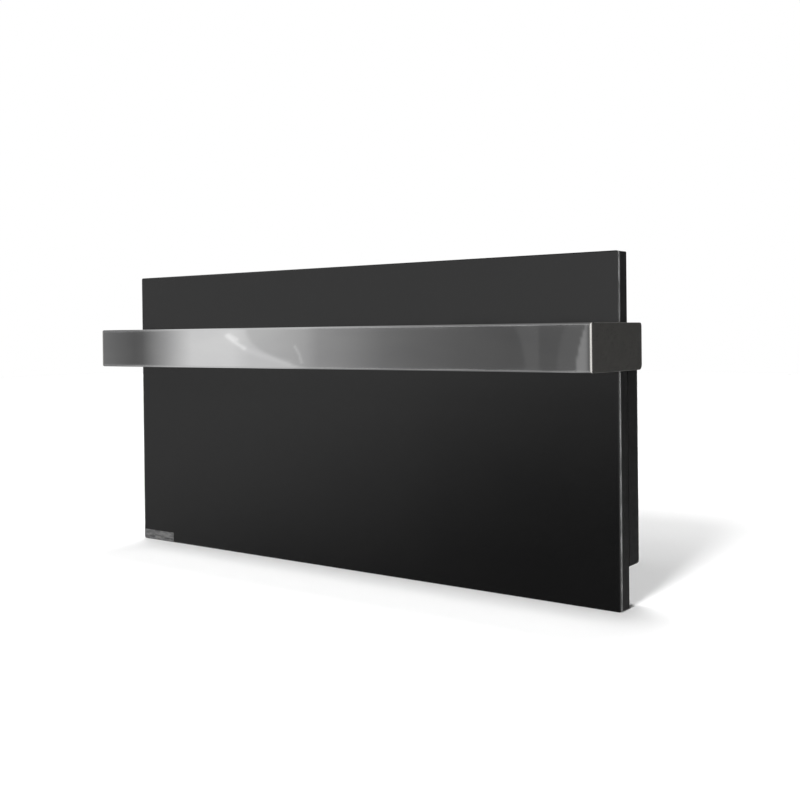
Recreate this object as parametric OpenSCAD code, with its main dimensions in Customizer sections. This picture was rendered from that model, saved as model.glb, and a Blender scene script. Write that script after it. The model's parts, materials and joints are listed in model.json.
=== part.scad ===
// Wall-hung glass panel heater with a flat towel bar.
// Millimetres. X runs along the wall, +Y runs into the wall and +Z is up.
// The origin is the centre of the four wall-fixing holes, on the wall's surface.

/* [Glass panel] */
// Width of the glass
panel_w = 1000; // [900:10:1200]
// Height of the glass
panel_h = 500; // [460:10:600]
// Thickness of the glass
glass_t = 6; // [5:1:8]
// Width of the polished bevel round the front of the glass
arris = 1.2; // [0.8:0.1:2]
// Depth of glass, bonding frame and tray together
slab_d = 29; // [26:1:34]

/* [Rear housing] */
// Depth of the housing behind the tray
housing_d = 31; // [28:1:40]
// Height of the housing's top face above the panel's centre
housing_top = 141; // [130:1:145]
// Depth of the housing's bottom face below the panel's centre
housing_drop = 191; // [180:1:200]
// Free space between the housing and the wall
wall_gap = 5; // [5:0.5:10]
// Thickness of the steel sheet
sheet = 1.2; // [1:0.1:1.5]

/* [Towel bar] */
// Height of the bar's flat face
bar_h = 67; // [50:1:70]
// Depth of the bar's box section
bar_d = 12; // [10:1:16]
// Height of the bar's centre above the panel's centre
bar_z = 117; // [100:1:118]
// Clear gap between glass and bar
towel_gap = 78; // [60:1:90]
// Thickness of the side arms
arm_t = 3; // [2:0.5:4]

/* [Wall brackets] */
// Distance between the two brackets
bracket_pitch = 700; // [500:10:740]
// Height between a bracket's two fixing holes
fixing_pitch = 200; // [180:5:220]
// Radius of a fixing hole
fixing_r = 2.75; // [2.5:0.25:3]
// Travel that frees the heater from its hooks
lift = 12; // [11:0.5:13]

/* [Controls] */
// Diameter of the thermostat knob
knob_dia = 22; // [20:1:23]
// Tilt of the rocker to each side
rocker_tilt = 8; // [6:1:9]

/* [Hidden] */
$fn = 48;
eps = 0.01;

// Depth planes, from the wall forward
housing_back = -wall_gap;
slab_back = housing_back - housing_d;
slab_front = slab_back - slab_d;
glass_back = slab_front + glass_t;
bond_t = 1.5;
tray_front = glass_back + bond_t;
bar_back = slab_front - towel_gap;
bar_front = bar_back - bar_d;

// Panel
half_w = panel_w / 2;
half_h = panel_h / 2;
tray_inset = 0.4;
tray_r = 1.6;
tray_flange = 14;
tray_inner_back = slab_back - sheet;

// Badge
badge_w = 82;
badge_h = 17;
badge_t = 0.6;

// Heating layers
film_w = 900;
film_h = 400;
film_t = 0.8;
film_back = glass_back + film_t;
busbar_h = 8;
busbar_t = 0.4;
busbar_z = film_h / 2 - 6;
busbar_back = film_back + busbar_t;
foil_t = 0.3;
foil_front = tray_front + sheet + 0.2;
wool_front = foil_front + foil_t;
wool_t = 10;
wool_back = wool_front + wool_t;
wool_w = panel_w - 12;
wool_h = panel_h - 12;
lead_hole_x = -440;
limiter_x = -400;
limiter_z = 110;
limiter_r = 8;
pad_size = 40;
pad_xs = [for (i = [-2:2]) 180 * i];
pad_zs = [-120, 120];

// Housing
housing_z0 = -housing_drop;
housing_edge_r = 8;
housing_side_r = 2;
flange_h = 12;
flange_w = panel_w - 40;
screw_xs = [for (i = [0:5]) -450 + 180 * i];
screw_zs = [housing_top + flange_h / 2, housing_z0 - flange_h / 2];

// Vents
vent_pitch = 15;
vent_count_top = 41;
vent_count_low = 35;
vent_slot_w = 4;
vent_slot_h = 24;
vent_top_z = housing_top - 21;
vent_low_z = housing_z0 + 31;
louvre_pitch = 50;
louvre_count = 13;
louvre_l = 36;
louvre_w = 4;
louvre_ys = [slab_back + 6, slab_back + 14];

// Terminals
terminal_x = -430;
terminal_z = -150;
cover_w = 92;
cover_h = 66;
cover_hole_w = 76;
cover_hole_h = 50;
cover_screw_dx = cover_w / 2 - 5;
cover_screw_dz = cover_h / 2 - 5;
terminal_w = 36;
terminal_h = 20;
terminal_d = 16;
earth_x = -365;
earth_z = -168;

// Cable gland
gland_y = slab_back + 12;
gland_seal_r = 4;
gland_seal_l = 7.5;
gland_neck = 18;

// Controls on the left side of the housing
control_y = slab_back + 12;
knob_z = -95;
knob_l = 14;
spindle_r = 3;
thermostat_z_size = 34;
thermostat_y_size = 22;
thermostat_x_size = 28;
thermostat_screw_dz = 14;
rocker_z = -150;
rocker_pivot_x = -half_w + 1.6;
bezel_t = 2;

// Lead grommet in the tray's back
grommet_x = -455;
grommet_z = -60;

// Arms
arm_clearance = 2;
arm_inner = half_w + arm_clearance;
arm_outer = arm_inner + arm_t;
arm_back = -1;
arm_rear_top_r = 5;
arm_rear_low_r = 8;
bar_r = 2.5;
bar_wall = 1.5;
stud_r = 2.5;
stud_y = slab_back + 13;
stud_zs = [bar_z - 20, bar_z + 10];
block_l = 30;
bar_screw_dz = 18;

// Wall brackets
bracket_w = 34;
bracket_h = 236;
bracket_t = 2;
bracket_xs = [-bracket_pitch / 2, bracket_pitch / 2];
hook_zs = [50, -50];
hook_w = 22;
hook_lip_h = lift - 2;
hook_reach = -12;
liner_t = 1;
slot_w = 28;
slot_h = lift + 6;
slot_clear = 0.25;
buffer_x = 300;
buffer_r = 10;

// Wires
wire_r = 1.3;
capillary_r = 0.8;

// ---------------------------------------------------------------- helpers

// Extrudes a (y, z) outline along X from x0 to x1.
module along_x(x0, x1) {
    translate([x0, 0, 0]) rotate([90, 0, 90]) linear_extrude(x1 - x0) children();
}

// Extrudes an (x, z) outline along Y from y0 to y1.
module along_y(y0, y1) {
    translate([0, y1, 0]) rotate([90, 0, 0]) linear_extrude(y1 - y0) children();
}

// Extrudes an (x, y) outline along Z from z0 to z1.
module along_z(z0, z1) {
    translate([0, 0, z0]) linear_extrude(z1 - z0) children();
}

// A box between two corners.
module box(lo, hi) {
    translate(lo) cube(hi - lo);
}

// A rectangle with a true arc at each corner: r = [low-left, low-right, high-right, high-left].
module arc_rect(lo, hi, r) {
    corners = [[lo.x, lo.y, 1, 1], [hi.x, lo.y, -1, 1], [hi.x, hi.y, -1, -1], [lo.x, hi.y, 1, -1]];
    difference() {
        translate(lo) square(hi - lo);
        for (i = [0:3]) if (r[i] > 0) {
            c = corners[i];
            translate([c[0] + c[2] * r[i], c[1] + c[3] * r[i]]) difference() {
                to_corner(c[2], c[3]) translate([-r[i] - 1, -r[i] - 1]) square(r[i] + 1);
                circle(r[i]);
            }
        }
    }
}

// Mirrors a low-left shape into the corner that the signs name.
module to_corner(sx, sy) {
    mirror([sx < 0 ? 1 : 0, 0]) mirror([0, sy < 0 ? 1 : 0]) children();
}

// A slot outline with round ends, centred, w across and h along its second axis.
module slot_outline(w, h) {
    square([w, h - w], center = true);
    for (s = [-1, 1]) translate([0, s * (h - w) / 2]) circle(w / 2);
}

// A round bar along Y.
module rod_y(x, z, r, y0, y1) {
    translate([x, y0, z]) rotate([-90, 0, 0]) cylinder(r = r, h = y1 - y0);
}

// A round bar along X.
module rod_x(y, z, r, x0, x1) {
    translate([x0, y, z]) rotate([0, 90, 0]) cylinder(r = r, h = x1 - x0);
}

// A round bar along Z.
module rod_z(x, y, r, z0, z1) {
    translate([x, y, z0]) cylinder(r = r, h = z1 - z0);
}

// A hexagonal bar along Z, across flats af.
module hex_z(x, y, af, z0, z1) {
    translate([x, y, z0]) cylinder(r = af / sqrt(3), h = z1 - z0, $fn = 6);
}

// A pan-head screw along +Z with its seat at 0, head above and shank below, cross recess in the head.
module pan_screw(shank_r, shank_l, head_r, head_h) {
    difference() {
        union() {
            translate([0, 0, -shank_l]) cylinder(r = shank_r, h = shank_l + eps);
            rotate_extrude() difference() {
                square([head_r, head_h]);
                translate([head_r - head_h * 0.5, head_h * 0.5]) difference() {
                    square(head_h);
                    circle(head_h * 0.5);
                }
            }
        }
        for (a = [0, 90]) rotate([0, 0, a])
            translate([-head_r * 0.55, -head_r * 0.11, head_h * 0.45])
                cube([head_r * 1.1, head_r * 0.22, head_h]);
    }
}

// Places children so that their +Z points along +Y, out of the back.
module facing_wall(x, y, z) {
    translate([x, y, z]) rotate([-90, 0, 0]) children();
}

// ---------------------------------------------------------------- wires

function unit(v) = v / norm(v);

// A Catmull-Rom point between p1 and p2 at t.
function spline_point(p0, p1, p2, p3, t) =
    0.5 * (2 * p1 + (p2 - p0) * t + (2 * p0 - 5 * p1 + 4 * p2 - p3) * t * t
        + (3 * p1 - p0 - 3 * p2 + p3) * t * t * t);

// Smooths a list of points, with n steps in each stretch.
function smooth(p, n) = let (last = len(p) - 1) [
    for (i = [0:last - 1], j = [0:n - 1])
        spline_point(p[max(i - 1, 0)], p[i], p[i + 1], p[min(i + 2, last)], j / n),
    p[last]
];

function tangent(p, i) = unit(p[min(i + 1, len(p) - 1)] - p[max(i - 1, 0)]);

// Normals carried along a path without twist.
function carried(p, i, n, out) = i == len(p) ? out :
    let (t = tangent(p, i), m = unit(n - t * (n * t))) carried(p, i + 1, m, concat(out, [m]));

function start_normal(t) = unit(cross(t, abs(t.x) < 0.8 ? [1, 0, 0] : [0, 0, 1]));

// A round tube swept along a smooth path.
module swept_tube(points, r, steps = 4, sides = 8) {
    path = smooth(points, steps);
    normals = carried(path, 0, start_normal(tangent(path, 0)), []);
    rings = len(path);
    verts = [for (i = [0:rings - 1]) let (t = tangent(path, i), n = normals[i], b = cross(t, n))
        for (k = [0:sides - 1]) path[i] + r * (n * cos(360 * k / sides) + b * sin(360 * k / sides))];
    walls = [for (i = [0:rings - 2], k = [0:sides - 1]) let (k2 = (k + 1) % sides)
        [i * sides + k, i * sides + k2, (i + 1) * sides + k2, (i + 1) * sides + k]];
    cap_low = [[for (k = [0:sides - 1]) sides - 1 - k]];
    cap_high = [[for (k = [0:sides - 1]) (rings - 1) * sides + k]];
    tris = [for (f = walls) each [[f[0], f[2], f[1]], [f[0], f[3], f[2]]]];
    caps = [for (f = concat(cap_low, cap_high), j = [1:sides - 2]) [f[0], f[j + 1], f[j]]];
    polyhedron(points = verts, faces = concat(tris, caps));
}

// ---------------------------------------------------------------- glass panel

module front_glass() {
    color([0.03, 0.03, 0.03]) intersection() {
        along_y(slab_front, glass_back)
            arc_rect([-half_w, -half_h], [half_w, half_h], [3, 3, 3, 3]);
        along_x(-half_w - 1, half_w + 1) polygon([
            [slab_front, -half_h + arris], [slab_front + arris, -half_h], [glass_back, -half_h],
            [glass_back, half_h], [slab_front + arris, half_h], [slab_front, half_h - arris]
        ]);
        along_z(-half_h - 1, half_h + 1) polygon([
            [-half_w + arris, slab_front], [half_w - arris, slab_front],
            [half_w, slab_front + arris], [half_w, glass_back],
            [-half_w, glass_back], [-half_w, slab_front + arris]
        ]);
    }
}

module name_badge() {
    x0 = -half_w + arris;
    z0 = -half_h + arris;
    color([0.6, 0.6, 0.6]) along_y(slab_front - badge_t, slab_front)
        arc_rect([x0, z0], [x0 + badge_w, z0 + badge_h], [2.5, 0.8, 0.8, 0.8]);
}

module bonding_frame() {
    w = half_w - 5;
    h = half_h - 5;
    color([0.05, 0.05, 0.05]) along_y(glass_back, tray_front) difference() {
        square([2 * w, 2 * h], center = true);
        square([2 * (w - 9), 2 * (h - 9)], center = true);
    }
}

// The outside or the inside of the tray: inset 0 or one sheet.
module tray_block(inset, y0, y1) {
    w = half_w - tray_inset - inset;
    h = half_h - tray_inset - inset;
    r = tray_r - inset;
    intersection() {
        along_x(-w, w) arc_rect([y0, -h], [y1, h], [0, r, r, 0]);
        along_z(-h - 1, h + 1) arc_rect([-w, y0], [w, y1], [0, 0, r, r]);
    }
}

module casing_tray() {
    opening_w = half_w - tray_inset - tray_flange;
    opening_h = half_h - tray_inset - tray_flange;
    color([0.1, 0.1, 0.1]) difference() {
        tray_block(0, tray_front, slab_back);
        tray_block(sheet, tray_front + sheet, slab_back - sheet);
        along_y(tray_front - 1, tray_front + sheet + 1)
            square([2 * opening_w, 2 * opening_h], center = true);
        for (x = screw_xs, z = screw_zs) rod_y(x, z, 3.05, slab_back - 2, slab_back + 1);
        rod_y(grommet_x, grommet_z, 5, slab_back - 2, slab_back + 1);
        rod_y(earth_x, earth_z, 2.05, slab_back - 2, slab_back + 1);
    }
}

// ---------------------------------------------------------------- heating layers

module heating_film() {
    color([0.25, 0.2, 0.15]) along_y(glass_back, film_back)
        square([film_w, film_h], center = true);
}

module film_busbars() {
    color([0.8, 0.5, 0.3]) for (s = [-1, 1])
        along_y(film_back, busbar_back)
            translate([0, s * busbar_z]) square([film_w - 10, busbar_h], center = true);
}

// Holes through the insulation for the leads and the limiter.
module lead_holes() {
    for (s = [-1, 1]) translate([lead_hole_x, s * busbar_z]) circle(4);
    translate([limiter_x, limiter_z]) circle(12);
}

module reflector_foil() {
    color([0.8, 0.8, 0.8]) along_y(foil_front, wool_front) difference() {
        square([wool_w, wool_h], center = true);
        lead_holes();
    }
}

module insulation_blanket() {
    color([0.85, 0.8, 0.65]) along_y(wool_front, wool_back) difference() {
        square([wool_w, wool_h], center = true);
        lead_holes();
    }
}

// Felt pads that press the blanket forward against the tray's flange.
module spacer_pads() {
    color([0.8, 0.78, 0.7]) for (x = pad_xs, z = pad_zs)
        along_y(wool_back, tray_inner_back) translate([x, z]) square(pad_size, center = true);
}

module overheat_limiter() {
    color([0.75, 0.7, 0.6]) {
        rod_y(limiter_x, limiter_z, limiter_r, film_back, film_back + 6);
        rod_y(limiter_x, limiter_z, limiter_r - 2, film_back + 6 - eps, film_back + 9);
        for (s = [-1, 1])
            box([limiter_x + s * 4 - 1.5, film_back + 9 - eps, limiter_z - 0.4],
                [limiter_x + s * 4 + 1.5, film_back + 13, limiter_z + 0.4]);
    }
}

module rivet_nuts() {
    color([0.7, 0.7, 0.68]) for (x = screw_xs, z = screw_zs) difference() {
        union() {
            rod_y(x, z, 3, tray_inner_back - 4, slab_back);
            rod_y(x, z, 4.5, tray_inner_back - 1, tray_inner_back);
        }
        rod_y(x, z, 2.05, tray_inner_back - 5, slab_back + 1);
    }
}

module lead_grommet() {
    color([0.08, 0.08, 0.08]) difference() {
        union() {
            rod_y(grommet_x, grommet_z, 7, slab_back, slab_back + 2);
            rod_y(grommet_x, grommet_z, 4.95, tray_inner_back - eps, slab_back + eps);
            rod_y(grommet_x, grommet_z, 7, tray_inner_back - 2, tray_inner_back);
        }
        rod_y(grommet_x, grommet_z, 3.5, tray_inner_back - 3, slab_back + 3);
    }
}

// ---------------------------------------------------------------- rear housing

// The outside or the inside of the housing: inset 0 or one sheet. It runs to y0 at the front.
module housing_block(inset, y0) {
    w = half_w - inset;
    y1 = housing_back - inset;
    z0 = housing_z0 + inset;
    z1 = housing_top - inset;
    re = housing_edge_r - inset;
    rs = housing_side_r - inset;
    intersection() {
        along_x(-w, w) arc_rect([y0, z0], [y1, z1], [0, re, re, 0]);
        along_z(z0, z1) arc_rect([-w, y0], [w, y1], [0, 0, rs, rs]);
    }
}

// One row of upright slots through the back.
module back_vents(z, count) {
    along_y(housing_back - 4, housing_back + 1)
        for (i = [0:count - 1])
            translate([(i - (count - 1) / 2) * vent_pitch, z])
                slot_outline(vent_slot_w, vent_slot_h);
}

// Two rows of long slots through a top or bottom face.
module face_louvres(z) {
    along_z(z - 3, z + 3)
        for (i = [0:louvre_count - 1], y = louvre_ys)
            translate([(i - (louvre_count - 1) / 2) * louvre_pitch, y])
                rotate(90) slot_outline(louvre_w, louvre_l);
}

module housing_flanges() {
    for (z = screw_zs) difference() {
        box([-flange_w / 2, slab_back, z - flange_h / 2 - eps],
            [flange_w / 2, slab_back + sheet, z + flange_h / 2 + eps]);
        for (x = screw_xs) rod_y(x, z, 2.25, slab_back - 1, slab_back + 3);
    }
}

// Everything that is punched out of the housing's back.
module back_openings() {
    y0 = housing_back - 3;
    y1 = housing_back + 1;
    for (x = bracket_xs, z = hook_zs)
        along_y(y0, y1) translate([x, z + liner_t + slot_clear - slot_h / 2])
            square([slot_w, slot_h], center = true);
    along_y(y0, y1) translate([terminal_x, terminal_z])
        square([cover_hole_w, cover_hole_h], center = true);
    for (sx = [-1, 1], sz = [-1, 1])
        rod_y(terminal_x + sx * cover_screw_dx, terminal_z + sz * cover_screw_dz, 1.55, y0, y1);
    back_vents(vent_top_z, vent_count_top);
    back_vents(vent_low_z, vent_count_low);
}

// Everything that is punched out of the housing's sides, top and bottom.
module side_openings() {
    for (z = stud_zs, s = [-1, 1])
        rod_x(stud_y, z, 4.05, s * half_w - 3, s * half_w + 3);
    rod_x(control_y, knob_z, 3.5, -half_w - 1, -half_w + 3);
    for (s = [-1, 1])
        rod_x(control_y, knob_z + s * thermostat_screw_dz, 2.05, -half_w - 1, -half_w + 3);
    box([-half_w - 1, control_y - 6.4, rocker_z - 9.6], [-half_w + 3, control_y + 6.4, rocker_z + 9.6]);
    rod_z(terminal_x, gland_y, 8.15, housing_z0 - 1, housing_z0 + 3);
    face_louvres(housing_top);
    face_louvres(housing_z0);
}

module rear_housing() {
    color([0.09, 0.09, 0.09]) difference() {
        union() {
            difference() {
                housing_block(0, slab_back);
                housing_block(sheet, slab_back - 1);
            }
            housing_flanges();
        }
        back_openings();
        side_openings();
    }
}

module housing_screws() {
    color([0.2, 0.2, 0.2]) for (x = screw_xs, z = screw_zs)
        facing_wall(x, slab_back + sheet, z) pan_screw(2, 6, 3.8, 2.4);
}

module terminal_cover() {
    color([0.12, 0.12, 0.12]) along_y(housing_back, housing_back + sheet)
        translate([terminal_x, terminal_z]) difference() {
            arc_rect([-cover_w / 2, -cover_h / 2], [cover_w / 2, cover_h / 2], [4, 4, 4, 4]);
            for (sx = [-1, 1], sz = [-1, 1])
                translate([sx * cover_screw_dx, sz * cover_screw_dz]) circle(1.75);
        }
}

module terminal_cover_screws() {
    color([0.2, 0.2, 0.2]) for (sx = [-1, 1], sz = [-1, 1])
        facing_wall(terminal_x + sx * cover_screw_dx, housing_back + sheet,
            terminal_z + sz * cover_screw_dz) pan_screw(1.5, 7, 3, 2);
}

module terminal_block() {
    color([0.88, 0.88, 0.82]) difference() {
        box([terminal_x - terminal_w / 2, slab_back, terminal_z - terminal_h / 2],
            [terminal_x + terminal_w / 2, slab_back + terminal_d, terminal_z + terminal_h / 2]);
        for (i = [-1:1]) {
            rod_z(terminal_x + 11 * i, slab_back + 7, 2, terminal_z - 11, terminal_z + 11);
            for (s = [-1, 1])
                rod_y(terminal_x + 11 * i, terminal_z + s * 5, 2.2, slab_back + 7,
                    slab_back + terminal_d + 1);
        }
    }
}

module terminal_screws() {
    color([0.8, 0.65, 0.3]) for (i = [-1:1], s = [-1, 1]) difference() {
        rod_y(terminal_x + 11 * i, terminal_z + s * 5, 2, slab_back + 9.2, slab_back + 14);
        box([terminal_x + 11 * i - 2.5, slab_back + 13, terminal_z + s * 5 - 0.4],
            [terminal_x + 11 * i + 2.5, slab_back + 15, terminal_z + s * 5 + 0.4]);
    }
}

module earth_stud() {
    color([0.75, 0.72, 0.6]) {
        rod_y(earth_x, earth_z, 4, tray_inner_back - 1.5, tray_inner_back);
        rod_y(earth_x, earth_z, 2, tray_inner_back - eps, slab_back + 12);
    }
}

module earth_nut() {
    color([0.8, 0.7, 0.4]) difference() {
        union() {
            rod_y(earth_x, earth_z, 4.5, slab_back, slab_back + 0.8);
            translate([earth_x, slab_back + 4.6, earth_z]) rotate([-90, 0, 0])
                cylinder(r = 7 / sqrt(3), h = 3.2, $fn = 6);
            rod_y(earth_x, earth_z, 4.5, slab_back + 0.8 - eps, slab_back + 4.6 + eps);
        }
        rod_y(earth_x, earth_z, 2.05, slab_back - 1, slab_back + 9);
    }
}

// ---------------------------------------------------------------- cable gland

module cable_gland_body() {
    z = housing_z0;
    color([0.1, 0.1, 0.1]) difference() {
        union() {
            rod_z(terminal_x, gland_y, 8, z - eps, z + 10);
            hex_z(terminal_x, gland_y, 19, z - 4, z);
            rod_z(terminal_x, gland_y, 7.5, z - gland_neck, z - 4 + eps);
        }
        rod_z(terminal_x, gland_y, 5, z - gland_neck - 1, z + 11);
        rod_z(terminal_x, gland_y, 5.5, z - gland_neck - 1, z - gland_neck + gland_seal_l);
    }
}

module gland_seal() {
    z = housing_z0 - gland_neck;
    color([0.15, 0.15, 0.15]) difference() {
        rod_z(terminal_x, gland_y, 5.45, z, z + gland_seal_l);
        rod_z(terminal_x, gland_y, gland_seal_r, z - 1, z + gland_seal_l + 1);
    }
}

module gland_cap() {
    z = housing_z0 - gland_neck;
    color([0.1, 0.1, 0.1]) difference() {
        translate([terminal_x, gland_y, z - 5]) intersection() {
            cylinder(r = 19 / sqrt(3), h = 15.5, $fn = 6);
            rotate_extrude() difference() {
                square([10.8, 15.5]);
                translate([8.3, 2.5]) rotate(-90) difference() {
                    square(4);
                    circle(2.5);
                }
            }
        }
        rod_z(terminal_x, gland_y, 7.6, z - 0.2, z + 11);
        rod_z(terminal_x, gland_y, 4.6, z - 6, z + 1);
    }
}

module gland_locknut() {
    color([0.1, 0.1, 0.1]) difference() {
        hex_z(terminal_x, gland_y, 20, housing_z0 + sheet, housing_z0 + sheet + 4);
        rod_z(terminal_x, gland_y, 8.05, housing_z0, housing_z0 + 8);
    }
}

// ---------------------------------------------------------------- rocker switch

module rocker_switch_body() {
    x0 = -half_w;
    color([0.06, 0.06, 0.06]) difference() {
        union() {
            along_x(x0 - bezel_t, x0) arc_rect([control_y - 7.5, rocker_z - 10.5],
                [control_y + 7.5, rocker_z + 10.5], [1.5, 1.5, 1.5, 1.5]);
            box([x0 - eps, control_y - 6.3, rocker_z - 9.5], [x0 + 16, control_y + 6.3, rocker_z + 9.5]);
            for (z = [-4, 4])
                box([x0 + 16 - eps, control_y - 2.4, rocker_z + z - 0.4],
                    [x0 + 23, control_y + 2.4, rocker_z + z + 0.4]);
        }
        box([x0 - bezel_t - 1, control_y - 5.2, rocker_z - 8.2], [x0 + 7, control_y + 5.2, rocker_z + 8.2]);
        translate([rocker_pivot_x, control_y - 6.1, rocker_z]) rotate([-90, 0, 0])
            cylinder(r = 1.25, h = 12.2);
    }
}

// The rocker's outline: u runs out of the panel and z up, with the pivot at 0.
module rocker_outline() {
    polygon([[-1, -3], [1.2, -7.4], [4.2, -7.4], [3.5, 0], [4.2, 7.4], [1.2, 7.4], [-1, 3]]);
    circle(3);
}

module rocker() {
    color([0.04, 0.04, 0.04]) translate([rocker_pivot_x, control_y, rocker_z])
        rotate([0, -rocker_tilt, 0]) {
            rotate([90, 0, 0]) mirror([1, 0, 0]) translate([0, 0, -5])
                linear_extrude(10) rocker_outline();
            translate([0, -6, 0]) rotate([-90, 0, 0]) cylinder(r = 1.2, h = 12);
        }
}

// ---------------------------------------------------------------- thermostat

module thermostat_body() {
    x0 = -half_w + sheet;
    color([0.7, 0.68, 0.6]) difference() {
        union() {
            box([x0, control_y - thermostat_y_size / 2, knob_z - thermostat_z_size / 2],
                [x0 + thermostat_x_size, control_y + thermostat_y_size / 2, knob_z + thermostat_z_size / 2]);
            for (z = [-6, 6])
                box([x0 + thermostat_x_size - eps, control_y - 2.4, knob_z + z - 0.4],
                    [x0 + thermostat_x_size + 7, control_y + 2.4, knob_z + z + 0.4]);
        }
        rod_x(control_y, knob_z, spindle_r + 0.05, x0 - 1, x0 + 16);
        for (s = [-1, 1])
            rod_x(control_y, knob_z + s * thermostat_screw_dz, 1.55, x0 - 1, x0 + 9);
    }
}

module thermostat_screws() {
    color([0.3, 0.3, 0.3]) for (s = [-1, 1])
        translate([-half_w, control_y, knob_z + s * thermostat_screw_dz])
            rotate([0, -90, 0]) pan_screw(1.5, 8, 2.4, 1.6);
}

module thermostat_spindle() {
    color([0.75, 0.75, 0.72]) difference() {
        rod_x(control_y, knob_z, spindle_r, -half_w - 11, -half_w + sheet + 15);
        box([-half_w - 12, control_y + 1.8, knob_z - 4], [-half_w - 0.4, control_y + 4, knob_z + 4]);
    }
}

module thermostat_knob() {
    r = knob_dia / 2;
    ribs = 18;
    x1 = -half_w - 0.8;
    color([0.05, 0.05, 0.05]) difference() {
        union() {
            translate([x1, control_y, knob_z]) rotate([0, -90, 0]) rotate_extrude() difference() {
                union() {
                    square([r, 3]);
                    square([r - 1.6, knob_l]);
                }
                translate([r - 1.6 - 1.2, knob_l - 1.2]) difference() {
                    square(3);
                    circle(1.2);
                }
            }
            translate([x1 - knob_l, control_y, knob_z]) along_x(-0.6, eps)
                translate([0, r / 2]) slot_outline(1.6, r - 3);
        }
        for (i = [0:ribs - 1]) translate([x1 - 3, control_y, knob_z]) rotate([i * 360 / ribs, 0, 0])
            translate([0, 0, r - 1.1]) rotate([0, -90, 0]) cylinder(r = 0.9, h = knob_l, $fn = 24);
        difference() {
            rod_x(control_y, knob_z, spindle_r + 0.05, x1 - 11, x1 + 1);
            box([x1 - 12, control_y + 1.85, knob_z - 4], [x1 + 2, control_y + 4, knob_z + 4]);
        }
    }
}

module sensor_bulb() {
    color([0.72, 0.45, 0.3]) rod_x(slab_back + 5, housing_z0 + 60, 3, -290, -210);
}

module sensor_clips() {
    color([0.6, 0.6, 0.6]) for (x = [-280, -226]) difference() {
        box([x, slab_back, housing_z0 + 54], [x + 6, slab_back + 9.5, housing_z0 + 66]);
        rod_x(slab_back + 5, housing_z0 + 60, 3.05, x - 1, x + 7);
    }
}

module capillary_tube() {
    z = housing_z0 + 60;
    color([0.8, 0.5, 0.3]) swept_tube([
        [-290, slab_back + 5, z], [-315, slab_back + 5, z + 1], [-340, slab_back + 6, z + 12],
        [-370, slab_back + 8, z + 26], [-405, slab_back + 11, z + 32], [-440, slab_back + 12, z + 34],
        [-half_w + sheet + thermostat_x_size, slab_back + 12, z + 36]
    ], capillary_r, 4, 6);
}

// ---------------------------------------------------------------- wiring

module wire_switch_feed() {
    x_tab = -half_w + 23;
    color([0.4, 0.2, 0.1]) swept_tube([
        [terminal_x - 11, slab_back + 7, terminal_z + 10], [terminal_x - 12, slab_back + 7, terminal_z + 18],
        [terminal_x - 22, slab_back + 9, terminal_z + 19], [x_tab + 16, control_y, terminal_z + 8],
        [x_tab + 8, control_y, rocker_z + 4], [x_tab, control_y, rocker_z + 4]
    ], wire_r);
}

module wire_thermostat_feed() {
    x_tab = -half_w + 23;
    x_end = -half_w + sheet + thermostat_x_size + 7;
    color([0.1, 0.1, 0.1]) swept_tube([
        [x_tab, control_y, rocker_z - 4], [x_tab + 6, control_y + 1, rocker_z - 4],
        [x_tab + 11, control_y + 7, rocker_z + 2], [x_tab + 13, control_y + 9, rocker_z + 14],
        [x_tab + 17, control_y + 8, rocker_z + 28], [x_tab + 20, control_y + 3, rocker_z + 42],
        [x_end + 7, control_y, knob_z - 6], [x_end, control_y, knob_z - 6]
    ], wire_r);
}

module lead_live() {
    x_end = -half_w + sheet + thermostat_x_size + 7;
    y_gap = tray_inner_back - 4;
    color([0.6, 0.1, 0.08]) {
        swept_tube([
            [x_end, control_y, knob_z + 6], [x_end + 6, control_y, knob_z + 8],
            [x_end + 9, slab_back + 10, knob_z + 20], [grommet_x + 3, slab_back + 9, grommet_z + 1.5],
            [grommet_x, slab_back + 3, grommet_z + 1.9], [grommet_x, slab_back - 2.5, grommet_z + 1.9],
            [grommet_x + 2, y_gap - 0.5, grommet_z + 9], [-442, y_gap, 0], [-432, y_gap, 60],
            [-420, y_gap, limiter_z - 8], [limiter_x - 12, y_gap - 1, limiter_z],
            [limiter_x - 5.5, y_gap - 1.5, limiter_z]
        ], wire_r, 3);
        swept_tube([
            [limiter_x + 5.5, y_gap - 1.5, limiter_z], [limiter_x + 12, y_gap - 1, limiter_z + 4],
            [limiter_x + 12, y_gap, limiter_z + 24], [limiter_x - 10, y_gap, limiter_z + 50],
            [lead_hole_x + 6, y_gap, busbar_z - 10], [lead_hole_x + 0.5, y_gap - 2, busbar_z - 1],
            [lead_hole_x, wool_front + 4, busbar_z], [lead_hole_x, busbar_back, busbar_z]
        ], wire_r, 3);
    }
}

module lead_neutral() {
    y_gap = tray_inner_back - 4;
    color([0.1, 0.25, 0.6]) swept_tube([
        [terminal_x, slab_back + 7, terminal_z + 10], [terminal_x, slab_back + 7, terminal_z + 20],
        [terminal_x - 4, slab_back + 5, terminal_z + 50], [terminal_x - 12, slab_back + 5, terminal_z + 78],
        [grommet_x + 2, slab_back + 5, grommet_z - 6], [grommet_x, slab_back + 2, grommet_z - 1.9],
        [grommet_x, slab_back - 2.5, grommet_z - 1.9], [grommet_x + 1, y_gap - 0.5, grommet_z - 8],
        [-448, y_gap, -110], [-442, y_gap, -160],
        [lead_hole_x - 1, y_gap - 1, -busbar_z + 6], [lead_hole_x, y_gap - 3, -busbar_z + 0.5],
        [lead_hole_x, wool_front + 4, -busbar_z], [lead_hole_x, busbar_back, -busbar_z]
    ], wire_r, 3);
}

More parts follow.
